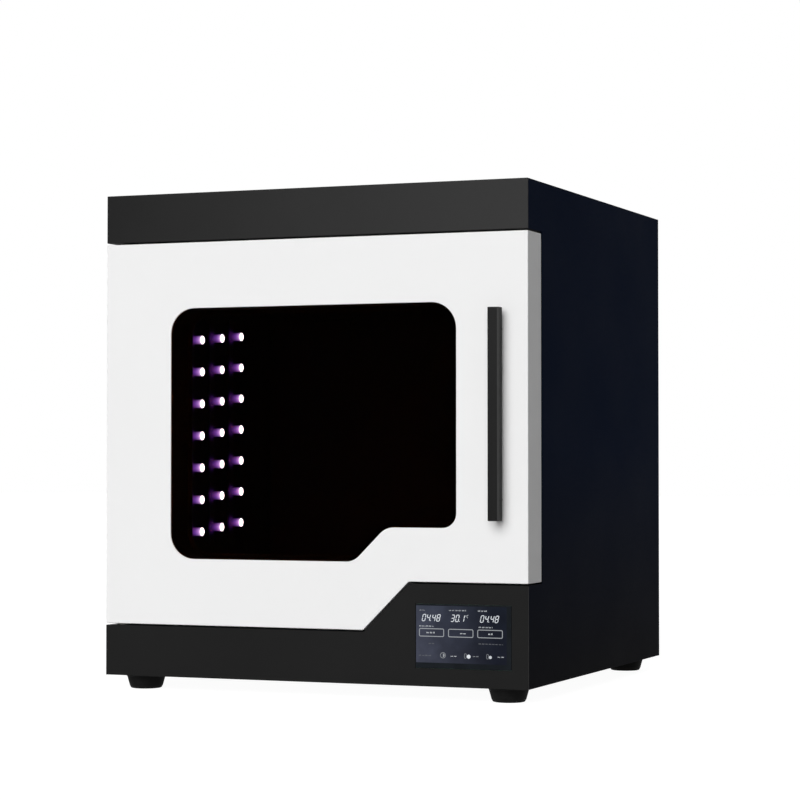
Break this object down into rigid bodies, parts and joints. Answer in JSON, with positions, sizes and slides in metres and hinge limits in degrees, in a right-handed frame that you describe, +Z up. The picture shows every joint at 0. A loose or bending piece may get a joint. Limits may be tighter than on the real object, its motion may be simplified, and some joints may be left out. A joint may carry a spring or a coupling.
{
  "type": "light curing cabinet",
  "caption": "Bench-top light curing cabinet: white hinged door with an amber window, black steel case, violet lamps, turntable and touch display.",
  "frame": {"origin": "middle of the whole part's box in X and Y, on the surface that the feet stand on", "axes": "+Z up, the door faces -Y, +X to the right of someone who stands before the door"},
  "size_m": [0.45, 0.465, 0.4975],
  "materials": {
    "side_paint": "fine satin powder coat, near black",
    "front_paint": "satin black paint",
    "door_paint": "smooth white enamel",
    "chamber_paint": "matt black paint",
    "zinc_steel": "zinc plated sheet",
    "screw_steel": "plain turned steel",
    "bright_wire": "plated wire",
    "heatsink": "mill finish",
    "lamp_board": "black lacquered board",
    "lamp_lens": "clear violet lens, lit",
    "display_glass": "dark glass over a lit screen",
    "circuit_board": "solder mask",
    "brass": "turned brass",
    "nylon": "natural nylon",
    "black_plastic": "fine textured black plastic",
    "foot_rubber": "black rubber",
    "seal_rubber": "soft black rubber",
    "amber_acrylic": "amber cast acrylic",
    "clear_acrylic": "clear cast acrylic",
    "handle_black": "satin black anodised bar"
  },
  "bodies": {
    "cabinet": {"side_panel_left": "side_paint", "side_panel_right": "side_paint", "top_cover": "side_paint", "top_fascia": "front_paint", "base_fascia": "front_paint", "base_pan": "side_paint", "rear_panel": "side_paint", "front_frame": "chamber_paint", "chamber_wall_left": "chamber_paint", "chamber_wall_right": "chamber_paint", "chamber_back": "chamber_paint", "chamber_ceiling": "chamber_paint", "chamber_floor": "chamber_paint", "floor_rails": "zinc_steel", "lamp_boards_left": "lamp_board", "lamp_boards_right": "lamp_board", "lamps_left": "lamp_lens", "lamps_right": "lamp_lens", "display_glass": "display_glass", "display_module": "circuit_board", "display_bracket": "zinc_steel", "control_board": "circuit_board", "board_standoffs": "brass", "power_supply": "zinc_steel", "lamp_driver": "heatsink", "turntable_motor": "zinc_steel", "motor_bracket": "zinc_steel", "turntable_bush": "nylon", "fan_frame": "black_plastic", "fan_guard": "bright_wire", "mains_inlet": "black_plastic", "inlet_pins": "brass", "switch_housing": "black_plastic", "feet": "foot_rubber", "foot_screws": "screw_steel", "rear_screws": "screw_steel", "fan_screws": "screw_steel", "magnetic_catch": "black_plastic", "reed_switch": "nylon", "temperature_probe": "screw_steel", "hinge_bushes": "nylon"},
    "door": {"door_shell": "door_paint", "door_back_panel": "chamber_paint", "window_pane": "amber_acrylic", "window_gasket": "seal_rubber", "window_surround": "black_plastic", "door_seal": "seal_rubber", "handle_bar": "handle_black", "handle_posts": "handle_black", "handle_screws": "screw_steel", "hinge_blocks": "zinc_steel", "hinge_pins": "screw_steel", "strike_plate": "zinc_steel", "door_magnet": "zinc_steel"},
    "turntable": {"turntable_plate": "clear_acrylic", "turntable_hub": "screw_steel"},
    "fan_rotor": {"fan_rotor": "black_plastic"},
    "power_rocker": {"power_rocker": "black_plastic"},
    "fuse_drawer": {"fuse_drawer": "black_plastic"}
  },
  "joints": [
    {"name": "door_hinge", "type": "hinge", "parent": "cabinet", "child": "door", "pos_m": [-0.215, -0.1945, 0.256], "axis": [0, 0, -1], "range_deg": [0, 110]},
    {"name": "turntable_spin", "type": "hinge", "parent": "cabinet", "child": "turntable", "pos_m": [0, -0.031, 0.114], "axis": [0, 0, 1], "continuous": true},
    {"name": "fan_spin", "type": "hinge", "parent": "cabinet", "child": "fan_rotor", "pos_m": [-0.11, 0.2165, 0.3435], "axis": [0, 1, 0], "continuous": true},
    {"name": "power_rocker_tilt", "type": "hinge", "parent": "cabinet", "child": "power_rocker", "pos_m": [0.092, 0.228, 0.064], "axis": [1, 0, 0], "range_deg": [0, 18]},
    {"name": "fuse_drawer_slide", "type": "slide", "parent": "cabinet", "child": "fuse_drawer", "axis": [0, 1, 0], "range_m": [0, 0.014]}
  ]
}
